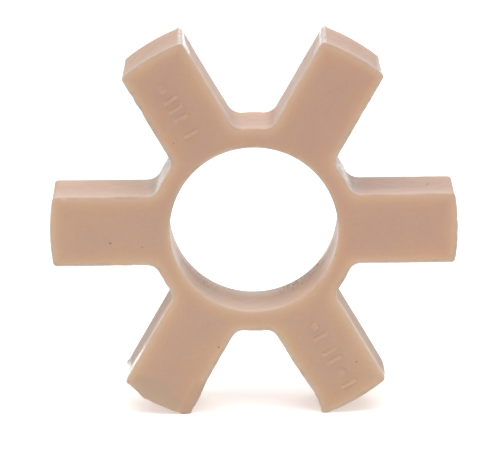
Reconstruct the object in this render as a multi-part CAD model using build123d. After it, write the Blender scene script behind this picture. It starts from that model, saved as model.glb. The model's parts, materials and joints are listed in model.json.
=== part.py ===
from build123d import *
from math import hypot, radians, tan
import os

# Spider of a jaw coupling: the elastic piece that sits between the jaws of two metal hubs and
# carries the torque from one to the other.  It is one moulding, six parallel-sided legs on a
# ring whose centre is open, so that the shaft ends may run on into it.
#
# It is moulded in one half of a mould, under a flat plate.  The parting line runs round the
# front face, and the walls have draft, so the section gets smaller from the front face to the
# back face.  The bore stays a true cylinder.
#
# Frame, in millimetres: the origin is the centre of the bore, midway between the two faces.
# +Y is the shaft axis, from the front face to the back face, and +Z is up.  Two legs lie along
# X, and the part stands on the corners of its two lowest legs.

# Driving dimensions, at the front face unless they say otherwise
outside_diameter = 53.6  # over opposite leg ends, the same as the hubs'
thickness = 11.3         # of the legs and the ring alike, face to face
bore_diameter = 22.1
ring_diameter = 27.4     # outside of the ring, between the legs
leg_count = 6
leg_width = 9.3          # the gap between a jaw of one hub and a jaw of the other

# Draft, in degrees
wall_draft = 1.4         # of the flanks, the roots and the ring
tip_draft = 0.5          # of the rounded leg ends

# Radii and edge breaks
root_fillet = 1.8        # where a flank runs into the ring
tip_corner_radius = 0.5  # the long corners of a leg's end
face_edge_radius = 0.2   # round the star's outline, on both faces
bore_chamfer = 0.3       # at both ends of the bore

# Worked out from the above
leg_pitch = 360 / leg_count
outside_radius = outside_diameter / 2
front_y = -thickness / 2
back_y = thickness / 2
front_plane = Plane(origin=(0, front_y, 0), x_dir=(1, 0, 0), z_dir=(0, 1, 0))
end_allowance = 3.0      # how far the legs are made too long, before their ends are trimmed round


def from_axis(shape):
    """Distance of an edge's or a face's middle from the shaft axis."""
    middle = shape.center()
    return hypot(middle.X, middle.Z)


def star_profile():
    """The front face's outline: the ring's circle and the legs, with rounded roots."""
    profile = Circle(ring_diameter / 2)
    for place in range(leg_count // 2):
        pair_of_legs = Rectangle(2 * (outside_radius + end_allowance), leg_width)
        profile += Rot(0, 0, place * leg_pitch) * pair_of_legs
    roots = [corner for corner in profile.vertices() if hypot(corner.X, corner.Y) < ring_diameter]
    return fillet(roots, root_fillet)


def drafted_star():
    """The profile as a solid, its walls leaning in from the front face to the back face."""
    star = extrude(front_plane * star_profile(), amount=thickness)
    walls = [
        face
        for face in star.faces()
        if abs(face.normal_at().Y) < 0.01 and from_axis(face) < outside_radius
    ]
    return draft(walls, front_plane, wall_draft)


def tip_envelope():
    """The round body that the leg ends are trimmed to."""
    back_radius = outside_radius - thickness * tan(radians(tip_draft))
    at_front = (Align.CENTER, Align.CENTER, Align.MIN)
    return front_plane * Cone(outside_radius, back_radius, thickness, align=at_front)


def is_tip_corner(edge):
    """True of the long edges where a leg's end meets its flanks."""
    runs_between_faces = edge.length > 0.9 * thickness and abs(edge.center().Y) < 0.1 * thickness
    return runs_between_faces and from_axis(edge) > 0.9 * outside_radius


def is_face_edge(edge):
    """True of an edge that lies in the front face or the back face."""
    box = edge.bounding_box()
    flat = box.max.Y - box.min.Y < 0.001
    return flat and min(abs(box.min.Y - front_y), abs(box.min.Y - back_y)) < 0.001


def is_bore_rim(edge):
    """True of the circles where the bore meets a face."""
    return abs(edge.radius - bore_diameter / 2) < 0.001


def spider():
    """The moulding: a drafted star with round ends, rounded corners and an open centre."""
    body = drafted_star() & tip_envelope()
    body = fillet(body.edges().filter_by(is_tip_corner), tip_corner_radius)
    body = fillet(body.edges().filter_by(is_face_edge), face_edge_radius)
    body -= Rot(90, 0, 0) * Cylinder(bore_diameter / 2, 2 * thickness)
    rims = body.edges().filter_by(GeomType.CIRCLE).filter_by(is_bore_rim)
    return chamfer(rims, bore_chamfer)


os.makedirs("parts", exist_ok=True)
export_step(spider(), "parts/spider.step")
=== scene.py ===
import json
from math import atan2, cos, pi, radians, sin, sqrt, tan

import bmesh
import bpy
import numpy as np
from mathutils import Matrix, Vector, noise


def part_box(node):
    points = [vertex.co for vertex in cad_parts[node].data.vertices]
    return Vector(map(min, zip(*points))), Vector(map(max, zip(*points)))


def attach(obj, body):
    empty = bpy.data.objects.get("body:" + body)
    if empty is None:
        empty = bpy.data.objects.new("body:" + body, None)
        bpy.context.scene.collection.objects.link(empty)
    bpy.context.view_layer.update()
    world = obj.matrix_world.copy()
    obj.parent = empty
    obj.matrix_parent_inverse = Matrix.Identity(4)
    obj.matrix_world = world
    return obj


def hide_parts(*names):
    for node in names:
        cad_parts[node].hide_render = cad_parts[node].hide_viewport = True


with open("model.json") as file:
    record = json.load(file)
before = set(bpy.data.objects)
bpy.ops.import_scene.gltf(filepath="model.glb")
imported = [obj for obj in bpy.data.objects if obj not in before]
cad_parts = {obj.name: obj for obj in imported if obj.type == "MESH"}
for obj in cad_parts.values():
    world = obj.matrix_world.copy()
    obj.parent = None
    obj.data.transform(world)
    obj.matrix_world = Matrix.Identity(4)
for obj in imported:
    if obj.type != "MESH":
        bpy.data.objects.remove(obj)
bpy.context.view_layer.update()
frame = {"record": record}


# ---------------------------------------------------------------------------------------------
# Spider moulding: six legs on an open ring, one piece of tan thermoplastic elastomer, injection
# moulded.  The mould's flat plate closes on the front face, so that outline carries the parting
# line, and every wall leans in towards the back so that the part drops out of the cavity.

MM = 0.001
low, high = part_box("spider")
bore_mount = next(mount for mount in frame["record"]["mounts"] if mount["name"] == "bore")

outside_radius = high.x / MM
thickness = (high.y - low.y) / MM
front_y = low.y / MM
bore_radius = bore_mount["dims"]["r_mm"]
half_leg = 9.3 / 2
ring_radius = 13.7
root_radius = 1.8
corner_radius = 0.5
edge_radius = 0.2
bore_edge_radius = 0.25
wall_slope = tan(radians(1.4))
tip_slope = tan(radians(0.5))
leg_angles = [60 * place for place in range(6)]
upper_right_leg, upper_left_leg, left_leg, lower_left_leg, lower_right_leg = leg_angles[1:]
marked_legs = (upper_left_leg, lower_right_leg)

# How many points the mesh has along each stretch of the outline, and rows across each surface.
fine_leg = (36, 92)
plain_leg = (16, 52)
corner_points = 3
root_points = 8
gap_points = 6
edge_steps = 4
wall_steps = 18
ring_steps = 10
crowding = 0.6
sewing_distance = 0.002


def star_sizes(inset, depth):
    """Half leg width, ring, root and tip radius at a depth below the front face."""
    lean = inset + depth * wall_slope
    tip = outside_radius - inset - depth * tip_slope
    return half_leg - lean, ring_radius - lean, root_radius + lean, tip


def root_centre(inset, depth):
    """Where a root's arc is centred: how far out along the leg, and how far off its middle."""
    half, ring, root, tip = star_sizes(inset, depth)
    return np.sqrt((ring + root) ** 2 - (half + root) ** 2), half + root


def crowded(start, end, count, both=True):
    """Values from start to end, without the last, closer together at the end or at both ends."""
    share = np.linspace(0, 1, count, endpoint=False)
    if both:
        share = share - crowding * np.sin(2 * pi * share) / (2 * pi)
    else:
        share = (1 + crowding) * share - crowding * share**2
    return start + (end - start) * share


def half_outline(inset, depth, tip_points, flank_points):
    """Points from the middle of a leg's end to the middle of the gap beside it, as x, z."""
    half, ring, root, tip = star_sizes(inset, depth)
    corner = corner_radius - inset
    corner_out = sqrt((tip - corner) ** 2 - (half - corner) ** 2)
    corner_turn = atan2(half - corner, corner_out)
    root_out, root_off = root_centre(inset, depth)
    root_turn = atan2(root_off, root_out)
    points = []
    for turn in crowded(0, corner_turn, tip_points, both=False):
        points.append((tip * cos(turn), tip * sin(turn)))
    for turn in np.linspace(corner_turn, pi / 2, corner_points, endpoint=False):
        points.append((corner_out + corner * cos(turn), half - corner + corner * sin(turn)))
    for out in crowded(corner_out, root_out, flank_points):
        points.append((out, half))
    for turn in np.linspace(-pi / 2, root_turn - pi, root_points, endpoint=False):
        points.append((root_out + root * cos(turn), root_off + root * sin(turn)))
    for turn in np.linspace(root_turn, pi / 6, gap_points + 1):
        points.append((ring * cos(turn), ring * sin(turn)))
    return np.array(points)


def leg_outline(inset, depth, tip_points, flank_points):
    """One leg's outline, from the gap on one side to the gap on the other, which it leaves out."""
    left = half_outline(inset, depth, tip_points, flank_points)
    right = left[:0:-1] * (1, -1)
    return np.vstack([right, left[:-1]])


def turned(points, angle):
    """A leg's points, turned to its place round the ring."""
    c, s = cos(radians(angle)), sin(radians(angle))
    return points @ np.array([[c, s], [-s, c]])


def fineness(angle):
    """Points across half a leg's end and along its flank: more on a leg that carries marks."""
    return fine_leg if angle in marked_legs else plain_leg


def star_outline(inset, depth):
    """The whole closed outline at a depth."""
    return np.vstack([turned(leg_outline(inset, depth, *fineness(a)), a) for a in leg_angles])


def at_depth(points, depth):
    """Outline points as x, y, z."""
    return np.column_stack([points[:, 0], np.full(len(points), front_y + depth), points[:, 1]])


def edge_rows(radius):
    """Inset and depth of each row round an edge, from a face to a wall."""
    turns = np.linspace(0, pi / 2, edge_steps + 1)
    return [(radius * (1 - sin(turn)), radius * (1 - cos(turn))) for turn in turns]


def wall_rows(radius):
    """Inset and depth of each row of a wall, from the front face to the back face."""
    front = edge_rows(radius)
    middle = crowded(radius, thickness - radius, wall_steps)[1:]
    back = [(inset, thickness - depth) for inset, depth in reversed(front)]
    return front + [(0, depth) for depth in middle] + back


# The surface is sewn from patches.  Each is a grid of points, and one that runs all the way round
# is closed: the outer wall, then on each face the six legs and the ring, then the bore.
rows = []
for inset, depth in wall_rows(edge_radius):
    rows.append(at_depth(star_outline(inset, depth), depth))
patches = [(np.array(rows), True)]
rim_turns = []
for depth in (0, thickness):
    rim = []
    for angle in leg_angles:
        tip_points, flank_points = fineness(angle)
        outline = leg_outline(edge_radius, depth, tip_points, flank_points)
        gap = gap_points + root_points
        end = outline[gap + flank_points : len(outline) - gap - flank_points + 1]
        root_out, root_off = root_centre(edge_radius, depth)
        half = star_sizes(edge_radius, depth)[0]
        foot = np.column_stack([np.sqrt(root_out**2 + half**2 - end[:, 1] ** 2), end[:, 1]])
        rows = []
        for share in np.append(crowded(0, 1, flank_points), 1):
            rows.append(at_depth(turned(end * (1 - share) + foot * share, angle), depth))
        patches.append((np.array(rows), False))
        leg_rim = np.vstack([outline[:gap], foot, outline[len(outline) - gap + 1 :]])
        rim.append(turned(leg_rim, angle))
    rim = np.vstack(rim)
    turns = np.unwrap(np.arctan2(rim[:, 1], rim[:, 0]))
    rim_turns.append(turns)
    bore_rim = bore_radius + bore_edge_radius
    rows = []
    for share in np.append(crowded(0, 1, ring_steps), 1):
        reach = bore_rim + (np.hypot(rim[:, 0], rim[:, 1]) - bore_rim) * share
        loop = np.column_stack([reach * np.cos(turns), reach * np.sin(turns)])
        rows.append(at_depth(loop, depth))
    patches.append((np.array(rows), True))
rows = []
for inset, depth in wall_rows(bore_edge_radius):
    turns = rim_turns[0] + (rim_turns[1] - rim_turns[0]) * depth / thickness
    reach = bore_radius + inset
    circle = np.column_stack([reach * np.cos(turns), reach * np.sin(turns)])
    rows.append(at_depth(circle, depth))
patches.append((np.array(rows), True))

corners = []
quads = []
for rows, closed in patches:
    first = sum(len(part) for part in corners)
    count = rows.shape[1]
    corners.append(rows.reshape(-1, 3))
    for row in range(len(rows) - 1):
        for column in range(count if closed else count - 1):
            here = first + row * count + column
            beside = first + row * count + (column + 1) % count
            quads.append((here, beside, beside + count, here + count))
moulding_mesh = bpy.data.meshes.new("spider_moulding")
moulding_mesh.from_pydata(np.vstack(corners), [], quads)
sewn = bmesh.new()
sewn.from_mesh(moulding_mesh)
bmesh.ops.remove_doubles(sewn, verts=sewn.verts, dist=sewing_distance)
bmesh.ops.recalc_face_normals(sewn, faces=sewn.faces)
sewn.to_mesh(moulding_mesh)
sewn.free()


# What moulding, trimming and use do to the shape, as moves of the mesh's points.

def inside_outline(x, z, depth):
    """How far points lie inside the outline at their depth; outside is negative."""
    turn = np.arctan2(z, x)
    turn = np.abs((turn + pi / 6) % (pi / 3) - pi / 6)
    reach = np.hypot(x, z)
    out, off = reach * np.cos(turn), reach * np.sin(turn)
    half, ring, root, tip = star_sizes(0, depth)
    root_out, root_off = root_centre(0, depth)
    leg = np.minimum(half - off, tip - reach)
    fillet = np.hypot(out - root_out, off - root_off) - root
    beside_root = turn > np.arctan2(root_off, root_out)
    return np.where(out > root_out, leg, np.where(beside_root, ring - reach, fillet))


def bump_noise(x, y, z, scale, offset):
    """Smooth noise from about -1 to 1, with features about as wide as the scale, in mm."""
    place = np.column_stack([x, y, z]) / scale + offset
    return np.array([noise.noise(Vector(point)) for point in place])


def fade(value, zero, one):
    """0 up to one limit, 1 from the other, and smooth between."""
    share = np.clip((value - zero) / (one - zero), 0, 1)
    return share * share * (3 - 2 * share)


def ridge(value, middle, width):
    """1 at the middle, falling off to both sides like a bell."""
    return np.exp(-(((value - middle) / width) ** 2))


def on_leg(x, z, angle):
    """Places along a leg and across it, anticlockwise of its middle line being positive."""
    c, s = cos(radians(angle)), sin(radians(angle))
    return x * c + z * s, z * c - x * s


def moved(x, z, angle, outwards, sideways):
    """Points moved out along a leg and across it."""
    c, s = cos(radians(angle)), sin(radians(angle))
    return x + outwards * c - sideways * s, z + outwards * s + sideways * c


def points_of(mesh):
    """A mesh's points, as an array each of x, y and z."""
    flat = np.empty(3 * len(mesh.vertices))
    mesh.vertices.foreach_get("co", flat)
    return flat.reshape(-1, 3).T.copy()


x, y, z = points_of(moulding_mesh)
depth = np.clip(y - front_y, 0, thickness)
reach = np.hypot(x, z)
in_bore = reach < bore_radius + 0.02
far_from_outline = 9
inside = np.where(in_bore, far_from_outline, inside_outline(x, z, depth))

# The way out of the wall at each point.
step = 0.01
away_x = inside_outline(x - step, z, depth) - inside_outline(x + step, z, depth)
away_z = inside_outline(x, z - step, depth) - inside_outline(x, z + step, depth)
length = np.maximum(np.hypot(away_x, away_z), 1e-9)
away_x, away_z = away_x / length, away_z / length

# Distances from the edges, and 1 on the outer walls.
front_edge = np.hypot(inside, depth)
back_edge = np.hypot(inside, thickness - depth)
bore_edge = np.hypot(reach - bore_radius, np.minimum(depth, thickness - depth))
wall = 1 - fade(inside, 0.0, edge_radius)
wall *= fade(depth, 0.0, edge_radius) * fade(thickness - depth, 0.0, edge_radius)

# Thick places sink as they cool, and no mould is quite flat.
face_sink = 0.05
wall_sink = 0.04
sink = face_sink * fade(inside, 0, 3) * fade(reach - bore_radius, 0, 2)
push_y = np.where(depth < thickness / 2, sink, -sink)
push_out = -wall_sink * wall * np.sin(pi * depth / thickness)
push_out += 0.03 * wall * bump_noise(x, y, z, 4.0, 11.0)
push_y += 0.012 * bump_noise(x, y, z, 3.0, 5.0) * (1 - wall)

# The parting line: a thin flash round the front outline, ragged and chipped where it was trimmed.
flash = 0.05
chip_depth = 0.07
near_front = ridge(front_edge, 0, 0.25)
near_back = ridge(back_edge, 0, 0.3)
rag = bump_noise(x, 0 * y, z, 0.7, 3.0)
chips = fade(bump_noise(x, 0 * y, z, 0.9, 17.0), 0.3, 0.5)
push_out += near_front * (flash + 0.035 * rag - chip_depth * chips)
push_y += near_front * (0.05 * chips + 0.02 * rag)
push_out += near_back * 0.02 * bump_noise(x, 0 * y, z, 1.6, 29.0)

# Nicks where the trimming knife slipped, on one leg: how far out along it, and how deep.
nicks = ((22.6, 0.22), (18.1, 0.2), (14.7, 0.18), (25.0, 0.12))
nick_width = 0.25
along, across = on_leg(x, z, left_leg)
for out, nick_depth in nicks:
    cut = nick_depth * ridge(along, out, nick_width) * (across < -4)
    push_out -= near_front * cut
    push_y += near_front * cut

# A spur of flash at the back corner of each upper leg's inner side.
spur_length = 0.3
spur_width = 0.35
for angle, side in ((upper_left_leg, -1), (upper_right_leg, 1)):
    along, across = on_leg(x, z, angle)
    from_corner = np.hypot(np.hypot(along - 26.2, across - side * 4.2), depth - thickness)
    x, z = moved(x, z, angle, spur_length * ridge(from_corner, 0, spur_width), 0)

# The lower left leg's end has been squashed.  It bulges at the tip and on one side, where its
# front arris is worn round, and its other side has a small torn spur near the back.
side_swelling = 0.38
wear_depth = 0.4
tear_length = 0.42
tear_width = 0.6
along, across = on_leg(x, z, lower_left_leg)
tip_bulge = np.interp(across, (-3.2, -2.6, -1.4, 0.6, 3.0, 4.2), (0, 0.08, 0.4, 0.2, 0.08, 0))
tip_bulge *= fade(along, 22.5, 26.0)
side_bulge = side_swelling * fade(across, 0.5, 4.6) * fade(along, 20.3, 24.4)
push_y += wear_depth * fade(across, 3.4, 5.0) * fade(along, 21.5, 24.5) * fade(depth, 3.0, 0.0)
from_tear = np.hypot(np.hypot(along - 26.0, across + 4.3), depth - 9.4)
x, z = moved(x, z, lower_left_leg, tip_bulge, side_bulge)
x -= tear_length * ridge(from_tear, 0, tear_width)

# The lower right leg has a hollow side, which swells at the corner, and a swollen outer corner.
corner_swelling = 0.34
along, across = on_leg(x, z, lower_right_leg)
hollow = np.interp(along, (18, 21, 23.2, 24.4, 25.2, 25.9), (0, 0.15, 0.27, 0.2, 0, -0.2))
hollow *= fade(across, -1.5, -4.4)
swollen = corner_swelling * ridge(along, 25.9, 0.9) * fade(across, 3.2, 4.4)
x, z = moved(x, z, lower_right_leg, 0, hollow)
x += swollen * np.sin(pi * depth / thickness)

# The core pin was drawn from the back, so the bore is a little wider there.
bore_widening = 0.13
widening = bore_widening * fade(reach, bore_radius + 1.5, bore_radius + 0.1) * depth / thickness
x += widening * x / reach
z += widening * z / reach

# Mould marks on two legs: low tallies and pips, with no meaning.  For each leg, how far out
# along it, how far across it, and the length of the tally; a pip has none.
marks = {
    upper_left_leg: (
        (22.4, 0.6, 0.0),
        (20.6, 0.5, 1.6),
        (19.2, 0.5, 1.6),
        (17.8, 0.5, 1.6),
        (15.3, 0.5, 1.6),
    ),
    lower_right_leg: (
        (15.4, 0.2, 0.0),
        (17.0, 0.2, 1.8),
        (19.3, 0.2, 1.8),
        (20.6, 0.2, 1.8),
        (22.6, 0.2, 0.0),
        (24.4, 0.2, 1.8),
    ),
}
mark_height = 0.2
tally_half_width = 0.2
pip_radius = 0.5
mark_slope = 0.12
for angle, leg_marks in marks.items():
    along, across = on_leg(x, z, angle)
    for out, off, tally in leg_marks:
        past = np.maximum(np.abs(across - off) - tally / 2, 0)
        half_width = tally_half_width if tally else pip_radius
        from_middle = np.hypot(along - out, past)
        raised = fade(-from_middle, -half_width - mark_slope, -half_width + mark_slope)
        push_y -= np.where(depth < 0.01, mark_height * raised, 0)

# Nothing reaches below the corners that the part stands on.
x += push_out * away_x
z = np.maximum(z + push_out * away_z, low.z / MM)
y += push_y
moulding_mesh.vertices.foreach_set("co", np.column_stack([x, y, z]).ravel() * MM)


# What moulding, trimming and use do to the colour and shine, as a number per point for each.

def keep_on_mesh(name, values):
    """Store one number per point for the material to read."""
    moulding_mesh.attributes.new(name, "FLOAT", "POINT").data.foreach_set("value", values)


# Painted shade: grey is painted on the arrises that face down at the front and up at the back,
# the front corners of the leg ends, one trimmed edge, and the other edges a little.
near_bore = reach < bore_radius + 1.2
out_z = np.where(near_bore, -z / reach, away_z)
front_arris = np.where(near_bore, np.hypot(reach - bore_radius, depth), front_edge)
back_arris = np.hypot(np.where(in_bore, 0, inside), thickness - depth)
greyed = fade(front_arris, 0.65, 0.05) * fade(out_z, 0.15, -0.15)
greyed = np.maximum(greyed, 0.65 * fade(back_arris, 0.7, 0.1) * fade(out_z, -0.15, 0.15))
tip_crease = fade(reach, 26.2, 26.5) * fade(front_edge, 0.35, 0.1)
greyed = np.maximum(greyed, 0.75 * tip_crease)
along, across = on_leg(x, z, left_leg)
trimmed = (along > 15) * fade(across, -4.2, -4.5) * fade(depth, 0.6, 0.1)
greyed = np.maximum(greyed, 0.55 * trimmed * fade(front_edge, 0.5, 0.2))
crease = np.where(near_bore, bore_edge + (depth > 6), front_edge)
greyed = np.maximum(greyed, 0.3 * fade(crease, 0.5, 0.15))
keep_on_mesh("greyed", greyed)

# Painted glow: the colour is painted paler and yellower near the edges, for light that gets
# through where the part is thin, except at the worn corner.
bore_reach = 1.1 + 0.9 * fade(z, -9, 3)
thin_distance = np.minimum(front_edge, back_edge)
thin_distance = np.minimum(thin_distance, bore_edge * bore_reach + 0.1)
along, across = on_leg(x, z, lower_left_leg)
thin_distance += 2.5 * fade(across, 3.4, 3.9) * fade(along, 21.0, 23.5) * fade(depth, 1.0, 0.5)
keep_on_mesh("thin_distance", thin_distance)
keep_on_mesh("wall", np.maximum(wall, in_bore))

# Painted highlights and painted light: the walls are painted pale where they catch the light,
# and made glossier there. First, a band behind the front edge, and a trace over the upper legs'
# flanks.
ragged = bump_noise(x, 0.4 * y, z, 1.1, 41.0)
lower_flank = (z < -8) * fade(away_z, 0.2, 0.5)
upper_flank = (z > 4) * fade(np.abs(away_x), 0.5, 0.75) * fade(away_z, 0.1, 0.4)
band = fade(depth, 0.3, 0.9) * fade(depth, 2.4, 1.3)
whitened = (0.07 + 0.2 * lower_flank) * wall * band * (1 + 0.6 * ragged)
whitened = np.maximum(whitened, 0.14 * wall * upper_flank)


def end_highlight(angle, side, begins, deep, near_amount, end_amount):
    """Painted highlight behind the front edge of a leg's side, over its whole depth at the very
    end.
    """
    along, across = on_leg(x, z, angle)
    share = np.clip((along - begins) / (25.2 - begins), 0, 1)
    reached = deep * (0.5 + 0.5 * share)
    near = fade(share, 0.0, 0.4) * fade(depth, reached + 1.2, reached) * near_amount
    end = fade(along, 25.0, 25.7) * end_amount
    on_side = fade(side * across, 3.9, 4.2)
    return on_side * wall * fade(depth, -0.8, 1.6) * np.maximum(near, end)


# Then the outer ends of four walls and one end's corner.
for highlight_patch in (
    end_highlight(lower_left_leg, side=-1, begins=20.3, deep=3.2, near_amount=0.85, end_amount=1.0),
    end_highlight(upper_left_leg, side=-1, begins=24.0, deep=5.5, near_amount=0.9, end_amount=1.0),
    end_highlight(upper_right_leg, side=1, begins=23.2, deep=6.5, near_amount=0.35, end_amount=0.8),
    end_highlight(upper_right_leg, side=-1, begins=25.0, deep=2.0, near_amount=0.3, end_amount=0.8),
):
    whitened = np.maximum(whitened, highlight_patch)
along, across = on_leg(x, z, upper_right_leg)
tip_corner = fade(along, 25.9, 26.4) * fade(across, -3.3, -4.1) * fade(depth, 9.5, 7.0)
whitened = np.maximum(whitened, 0.55 * wall * tip_corner)

# Then the pockets between the side legs and the upper ones, each with a paler line.
for pocket_angle, side in ((30, -1), (150, 1)):
    along, across = on_leg(x, z, pocket_angle)
    pocket = 0.5 * np.exp(-((across / 3.0) ** 6))
    pocket += 0.3 * ridge(across, side * 1.6, 0.45) * fade(depth, 9.0, 6.0)
    pocket *= 0.9 + 0.3 * bump_noise(x, 0.5 * y, z, 1.6, 7.0)
    whitened = np.maximum(whitened, pocket * (along > 10) * wall)

# Then the bore: a line inside the front rim, the sides, and the back of its lower half.
bore_turn = np.degrees(np.arctan2(x, -z))
rim_line = ridge(depth, 0.5, 0.4) * fade(np.abs(bore_turn), 100, 85)
sides = fade(np.abs(bore_turn), 45, 75)
rim_paleness = 0.08 + (0.34 + 0.15 * (x > 0)) * sides
whitened = np.maximum(whitened, in_bore * rim_paleness * rim_line)
whitened = np.maximum(whitened, in_bore * 0.2 * sides)
whitened = np.maximum(whitened, in_bore * 0.45 * fade(depth, 7.0, 10.5) * fade(z, 2, -6))
whitened *= np.clip(1 + 0.5 * bump_noise(x, 0.3 * y, z, 0.8, 13.0), 0, 1)
keep_on_mesh("whitened", np.clip(whitened, 0, 1))

# The lower left leg's end is scuffed, beyond a bent line.
along, across = on_leg(x, z, lower_left_leg)
scuff_line = 23.8 + 0.28 * np.abs(across + 0.9) + 0.15 * bump_noise(x, 0 * y, z, 1.0, 53.0)
scuffed = fade(along, scuff_line, scuff_line + 0.25) * (depth < 0.1)
scuffed *= fade(across, -4.1, -3.4) * fade(across, 3.6, 3.0)
keep_on_mesh("scuffed", scuffed)

# Painted light: the bore is painted warmer and paler at the lower right. It is also darker in
# brown streaks towards the back on both sides.
streaking_right = fade(bore_turn, 12, 28) * fade(bore_turn, 62, 48) * fade(depth, 4.5, 9.0)
streaking_left = fade(bore_turn, -22, -35) * fade(bore_turn, -66, -55) * fade(depth, 2.5, 6.0)
peachy = fade(bore_turn, 15, 32) * fade(bore_turn, 75, 62) * fade(depth, 11.5, 10.0)
keep_on_mesh("peachy", in_bore * peachy)
keep_on_mesh("soiled", in_bore * (streaking_right + 0.6 * streaking_left))

# Painted shade: the lower flanks and one side leg's upper wall are painted darker towards the
# back.
right_leg_top = (np.abs(z) < 8) * fade(away_z, 0.7, 0.95) * (x > 0)
dulled = wall * fade(depth, 2.0, 4.5) * np.maximum(lower_flank, 0.5 * right_leg_top)
keep_on_mesh("dulled", dulled)

moulding_mesh.polygons.foreach_set("use_smooth", np.ones(len(moulding_mesh.polygons), bool))
moulding_mesh.update()
moulding = bpy.data.objects.new("spider_moulding", moulding_mesh)
bpy.context.scene.collection.objects.link(moulding)

# Tan elastomer: satin and a little translucent, with a painted glow, paler and yellower, where it
# is thin.
elastomer = bpy.data.materials.new("tan_elastomer")
elastomer.use_nodes = True
nodes = elastomer.node_tree.nodes
links = elastomer.node_tree.links
surface = nodes["Principled BSDF"]
surface.inputs["IOR"].default_value = 1.5
surface.inputs["Subsurface Weight"].default_value = 1.0
surface.inputs["Subsurface Radius"].default_value = (1.0, 0.7, 0.45)
surface.inputs["Subsurface Scale"].default_value = 0.6 * MM

# Colours of the painted glow, from an edge inwards, over the thin range in mm.
thin_range = 4.0
edge_glow_colours = (
    (0.0, (0.643, 0.478, 0.34)),
    (0.1, (0.638, 0.463, 0.319)),
    (0.18, (0.617, 0.426, 0.283)),
    (0.3, (0.592, 0.39, 0.26)),
    (0.5, (0.566, 0.372, 0.257)),
    (0.95, (0.549, 0.364, 0.257)),
)
mottle_tints = ((0.3, (0.96, 0.965, 1.0)), (0.7, (1.0, 0.99, 0.955)))
edge_shade_greys = ((0.35, (0.31, 0.285, 0.265)), (0.65, (0.46, 0.43, 0.4)))
wall_light_colour = (0.6, 0.45, 0.37)
fine_grain_tint = (0.965, 0.96, 0.955)
top_shade_tint = (0.965, 0.93, 0.935)
right_shade_tint = (1.0, 0.97, 0.985)
highlight_white = (0.86, 0.83, 0.8)
scuff_colour = (0.47, 0.35, 0.26)
bore_light_peach = (0.68, 0.46, 0.33)
streak_brown = (0.34, 0.21, 0.15)
wall_shade_brown = (0.3, 0.23, 0.21)
speck_brown = (0.2, 0.13, 0.09)


def stored(name):
    """A number that is kept on the mesh."""
    node = nodes.new("ShaderNodeAttribute")
    node.attribute_name = name
    return node.outputs["Fac"]


def maths(operation, *values):
    """One step of arithmetic on values or sockets."""
    node = nodes.new("ShaderNodeMath")
    node.operation = operation
    for socket, value in zip(node.inputs, values):
        if isinstance(value, (int, float)):
            socket.default_value = value
        else:
            links.new(value, socket)
    return node.outputs[0]


def spread(value, start, end, low_end=0.0, high_end=1.0):
    """Map a value from one range to another, smoothly and without going past it."""
    node = nodes.new("ShaderNodeMapRange")
    node.interpolation_type = "SMOOTHSTEP"
    links.new(value, node.inputs["Value"])
    node.inputs["From Min"].default_value = start
    node.inputs["From Max"].default_value = end
    node.inputs["To Min"].default_value = low_end
    node.inputs["To Max"].default_value = high_end
    return node.outputs["Result"]


place = nodes.new("ShaderNodeTexCoord").outputs["Object"]


def grain(size, detail=2.0, stretch=(1, 1, 1)):
    """Noise with features about a size in mm, stretched by a factor on each axis."""
    mapping = nodes.new("ShaderNodeMapping")
    mapping.inputs["Scale"].default_value = [1 / (size * MM * factor) for factor in stretch]
    links.new(place, mapping.inputs["Vector"])
    node = nodes.new("ShaderNodeTexNoise")
    node.inputs["Scale"].default_value = 1.0
    node.inputs["Detail"].default_value = detail
    links.new(mapping.outputs["Vector"], node.inputs["Vector"])
    return node.outputs["Fac"]


def toned(value, stops):
    """Colour that runs through stops, which are a value and a colour each."""
    node = nodes.new("ShaderNodeValToRGB")
    links.new(value, node.inputs["Fac"])
    node.color_ramp.elements[1].position = stops[-1][0]
    for position, _ in stops[1:-1]:
        node.color_ramp.elements.new(position)
    for element, (position, tone) in zip(node.color_ramp.elements, stops):
        element.position = position
        element.color = (*tone, 1)
    return node.outputs["Color"]


def blend(kind, amount, first, second):
    """Mix two colours; an amount or a colour may be a value or a socket."""
    node = nodes.new("ShaderNodeMix")
    node.data_type = "RGBA"
    node.blend_type = kind
    sockets = (node.inputs[0], node.inputs[6], node.inputs[7])
    for socket, value in zip(sockets, (amount, first, second)):
        if isinstance(value, (int, float)):
            socket.default_value = value
        elif isinstance(value, tuple):
            socket.default_value = (*value, 1)
        else:
            links.new(value, socket)
    return node.outputs[2]


def laid_over(base, name, most, tone):
    """A colour laid over the base by a number kept on the mesh, up to an amount."""
    return blend("MIX", maths("MULTIPLY", stored(name), most), base, tone)


# The elastomer's colour with a painted glow near thin edges, painted light on the walls towards
# the front, faint mottling, and painted shade towards the top and on the right.
colour = toned(maths("DIVIDE", stored("thin_distance"), thin_range), edge_glow_colours)
wall_amount = stored("wall")
drag = grain(1.0, 3.0, (9, 0.55, 9))
axes = nodes.new("ShaderNodeSeparateXYZ")
links.new(place, axes.inputs[0])
# Painted light: the walls are painted paler towards the front edge.
wall_light_here = spread(axes.outputs["Y"], (front_y + 6) * MM, (front_y + 1.5) * MM, 0.3, 0.8)
wall_light = maths("MULTIPLY", wall_amount, wall_light_here)
wall_light = maths("MULTIPLY", wall_light, spread(drag, 0.3, 0.7, 0.6, 1.0))
colour = blend("MIX", wall_light, colour, wall_light_colour)
colour = blend("MULTIPLY", spread(grain(0.3), 0.3, 0.7), colour, fine_grain_tint)
colour = blend("MULTIPLY", 1.0, colour, toned(grain(5.0, 3.0), mottle_tints))
# Painted shade: darker towards the top, and a little darker and pinker on the right.
colour = blend("MULTIPLY", spread(axes.outputs["Z"], -18 * MM, 18 * MM), colour, top_shade_tint)
rightward = spread(axes.outputs["X"], -12 * MM, 20 * MM)
off_the_floor = spread(axes.outputs["Z"], -16 * MM, -4 * MM)
colour = blend("MULTIPLY", maths("MULTIPLY", rightward, off_the_floor), colour, right_shade_tint)
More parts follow.
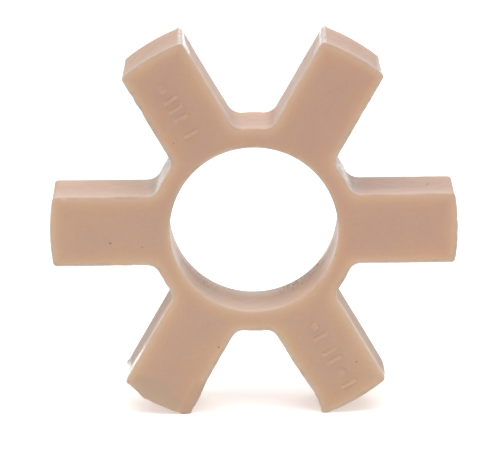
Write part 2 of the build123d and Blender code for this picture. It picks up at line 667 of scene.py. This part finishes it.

# Painted shade on the edges and flanks, painted highlights, painted light in the bore, darker
# streaks there, and a scuff.
# Painted shade along the edges, in mottled greys.
edge_shade_amount = maths("MULTIPLY", stored("greyed"), spread(grain(0.8), 0.35, 0.65, 0.45, 0.75))
colour = blend("MIX", edge_shade_amount, colour, toned(grain(3.0), edge_shade_greys))
# Painted highlights, in near white.
colour = laid_over(colour, "whitened", 0.8, highlight_white)
colour = laid_over(colour, "scuffed", 0.55, scuff_colour)
# Painted light, warmer and paler, at the lower right of the bore.
colour = laid_over(colour, "peachy", 0.45, bore_light_peach)
# Darker brown streaks towards the back of the bore.
streaks = spread(grain(0.28, 3.0, (1, 5, 1)), 0.48, 0.62)
soiled = maths("MULTIPLY", maths("MULTIPLY", streaks, stored("soiled")), 0.85)
colour = blend("MIX", soiled, colour, streak_brown)
# Painted shade towards the back of the lower flanks and one side leg's upper wall.
colour = laid_over(colour, "dulled", 0.27, wall_shade_brown)


def speck(spot, radius):
    """How much of a dark speck shows, round a spot in mm."""
    far = nodes.new("ShaderNodeVectorMath")
    far.operation = "DISTANCE"
    links.new(place, far.inputs[0])
    far.inputs[1].default_value = [value * MM for value in spot]
    return spread(far.outputs["Value"], radius * MM, 0.4 * radius * MM, 0.0, 0.8)


# Specks of stray pigment and dirt in the nicks: where each is, and its radius.
specks = (
    ((-18.9, front_y, -1.6), 0.22),
    ((-14.7, front_y, -2.2), 0.15),
    ((-4.8, front_y, -15.9), 0.2),
    ((5.4, front_y, 19.4), 0.16),
    ((1.6, front_y, 14.7), 0.14),
    ((-10.4, front_y, 11.8), 0.12),
    ((13.4, front_y, -18.1), 0.16),
    ((23.0, 0.3, 4.5), 0.28),
    ((23.1, 1.0, 4.5), 0.22),
    ((-18.1, front_y, 4.6), 0.25),
    ((-14.7, front_y, 4.6), 0.2),
    ((-22.6, front_y, 4.6), 0.16),
    ((10.1, -2.6, 21.4), 0.25),
)
for spot, radius in specks:
    colour = blend("MIX", speck(spot, radius), colour, speck_brown)
links.new(colour, surface.inputs["Base Color"])

# Satin, glossier where highlights are painted, with a fine grain and drag lines on the walls.
satin = spread(grain(1.6, 3.0), 0.3, 0.7, 0.42, 0.56)
links.new(maths("MULTIPLY_ADD", stored("whitened"), -0.36, satin), surface.inputs["Roughness"])
relief = maths("ADD", grain(0.35, 3.0), maths("MULTIPLY", drag, wall_amount))
bump = nodes.new("ShaderNodeBump")
bump.inputs["Strength"].default_value = 0.35
bump.inputs["Distance"].default_value = 0.03 * MM
links.new(relief, bump.inputs["Height"])
links.new(bump.outputs["Normal"], surface.inputs["Normal"])
moulding_mesh.materials.append(elastomer)

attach(moulding, "root")
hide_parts("spider")


# ---------------------------------------------------------------------------------------------
# Floor.  One wide sheet of plain white board, which the corners of the two lowest legs rest on.
# It glows a little, so that it stays white out to the horizon.

board_reach = 4.0
board_white = (0.93, 0.93, 0.93, 1)
board_glow = 0.35
board_corners = (
    (-board_reach, -board_reach, low.z),
    (board_reach, -board_reach, low.z),
    (board_reach, board_reach, low.z),
    (-board_reach, board_reach, low.z),
)
board_mesh = bpy.data.meshes.new("white_board")
board_mesh.from_pydata(board_corners, [], [(0, 1, 2, 3)])
board = bpy.data.objects.new("white_board", board_mesh)
bpy.context.scene.collection.objects.link(board)
white = bpy.data.materials.new("white_board")
white.use_nodes = True
white_surface = white.node_tree.nodes["Principled BSDF"]
white_surface.inputs["Base Color"].default_value = board_white
white_surface.inputs["Roughness"].default_value = 0.7
white_surface.inputs["Emission Color"].default_value = (1, 1, 1, 1)
white_surface.inputs["Emission Strength"].default_value = board_glow
board_mesh.materials.append(white)


# ---------------------------------------------------------------------------------------------
# Light.  A white room, with a large softbox high in front and another high behind.

room_strength = 0.43
room = bpy.data.worlds.new("white_room")
room.use_nodes = True
room.node_tree.nodes["Background"].inputs["Color"].default_value = (1, 1, 1, 1)
room.node_tree.nodes["Background"].inputs["Strength"].default_value = room_strength
bpy.context.scene.world = room


def softbox(name, place, width, height, power):
    """A large soft lamp, aimed at the part."""
    lamp = bpy.data.lights.new(name, "AREA")
    lamp.shape = "RECTANGLE"
    lamp.size = width
    lamp.size_y = height
    lamp.energy = power
    box = bpy.data.objects.new(name, lamp)
    box.location = place
    box.rotation_euler = (-Vector(place)).to_track_quat("-Z", "Y").to_euler()
    bpy.context.scene.collection.objects.link(box)


softbox("overhead_softbox", place=(-0.08, -0.23, 0.8), width=1.3, height=0.6, power=6.3)
softbox("back_softbox", place=(0.1, 0.6, 0.5), width=0.7, height=0.4, power=2.0)
bpy.context.scene.view_settings.view_transform = "Standard"


# ---------------------------------------------------------------------------------------------
# Camera.  A long lens, a little above the shaft axis and almost square to the front face.

lens_length = 383.3
stand_off = 0.6992
elevation = radians(13.87)
azimuth = radians(0.315)
roll = radians(-0.54)
shift_right = -0.515 * MM
shift_up = 0.744 * MM

camera_data = bpy.data.cameras.new("camera")
camera_data.sensor_width = 36
camera_data.lens = lens_length
camera_data.clip_start = 0.05
camera_data.clip_end = 20
camera = bpy.data.objects.new("camera", camera_data)
bpy.context.scene.collection.objects.link(camera)
ahead = Vector((sin(azimuth) * cos(elevation), cos(azimuth) * cos(elevation), -sin(elevation)))
level_right = Vector((cos(azimuth), -sin(azimuth), 0))
level_up = level_right.cross(ahead)
right = cos(roll) * level_right + sin(roll) * level_up
up = -sin(roll) * level_right + cos(roll) * level_up
aside = shift_right * level_right + shift_up * level_up
stand = Vector((0, low.y, 0)) - stand_off * ahead + aside
facing = Matrix((right, up, -ahead)).transposed().to_4x4()
camera.matrix_world = Matrix.Translation(stand) @ facing
bpy.context.scene.camera = camera
